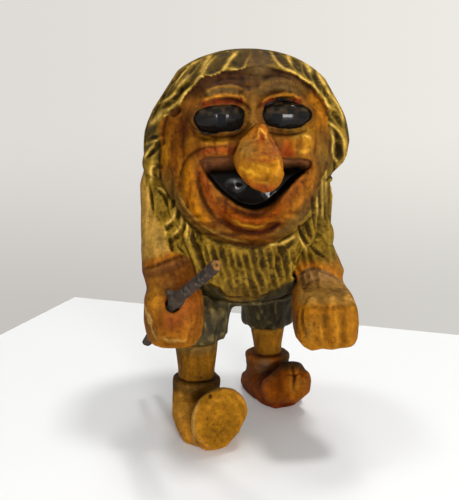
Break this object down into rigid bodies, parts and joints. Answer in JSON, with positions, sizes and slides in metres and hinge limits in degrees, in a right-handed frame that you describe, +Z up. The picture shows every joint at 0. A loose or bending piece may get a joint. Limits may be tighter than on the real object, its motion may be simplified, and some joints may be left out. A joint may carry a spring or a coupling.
{
  "type": "gnome figurine",
  "caption": "Carved wooden gnome with fluted hair, beard, big nose and curled boots, standing on flat soles and holding a loose twig staff that slides through its fist.",
  "frame": {"origin": "on the floor under the soles, below the middle of the outline", "axes": "+Z up, the figure faces -Y, its own right hand is on -X"},
  "size_m": [0.085, 0.1072, 0.148],
  "materials": {
    "hair_stain": "olive stain over ochre, varnished, semi-gloss",
    "skin_stain": "ochre and red stain, varnished, semi-gloss",
    "eye_lacquer": "near-black gloss lacquer",
    "trouser_stain": "dark grey-olive stain, satin",
    "bark": "bark, matte",
    "bare_wood": "bare, matte"
  },
  "bodies": {
    "figure": {"head": "hair_stain", "nose": "skin_stain", "right_eye": "eye_lacquer", "left_eye": "eye_lacquer", "torso": "hair_stain", "right_arm": "skin_stain", "left_arm": "skin_stain", "right_hand": "skin_stain", "left_hand": "skin_stain", "breeches": "trouser_stain", "right_leg": "skin_stain", "left_leg": "skin_stain", "right_boot": "skin_stain", "left_boot": "skin_stain", "neck_dowel": "bare_wood", "right_shoulder_dowel": "bare_wood", "left_shoulder_dowel": "bare_wood", "right_wrist_dowel": "bare_wood", "left_wrist_dowel": "bare_wood", "right_waist_dowel": "bare_wood", "left_waist_dowel": "bare_wood", "right_leg_dowel": "bare_wood", "left_leg_dowel": "bare_wood"},
    "staff": {"staff": "bark"}
  },
  "joints": [
    {"name": "staff_slide", "type": "slide", "parent": "figure", "child": "staff", "axis": [0.187, -0.8352, 0.5171], "range_m": [0, 0.045]}
  ]
}
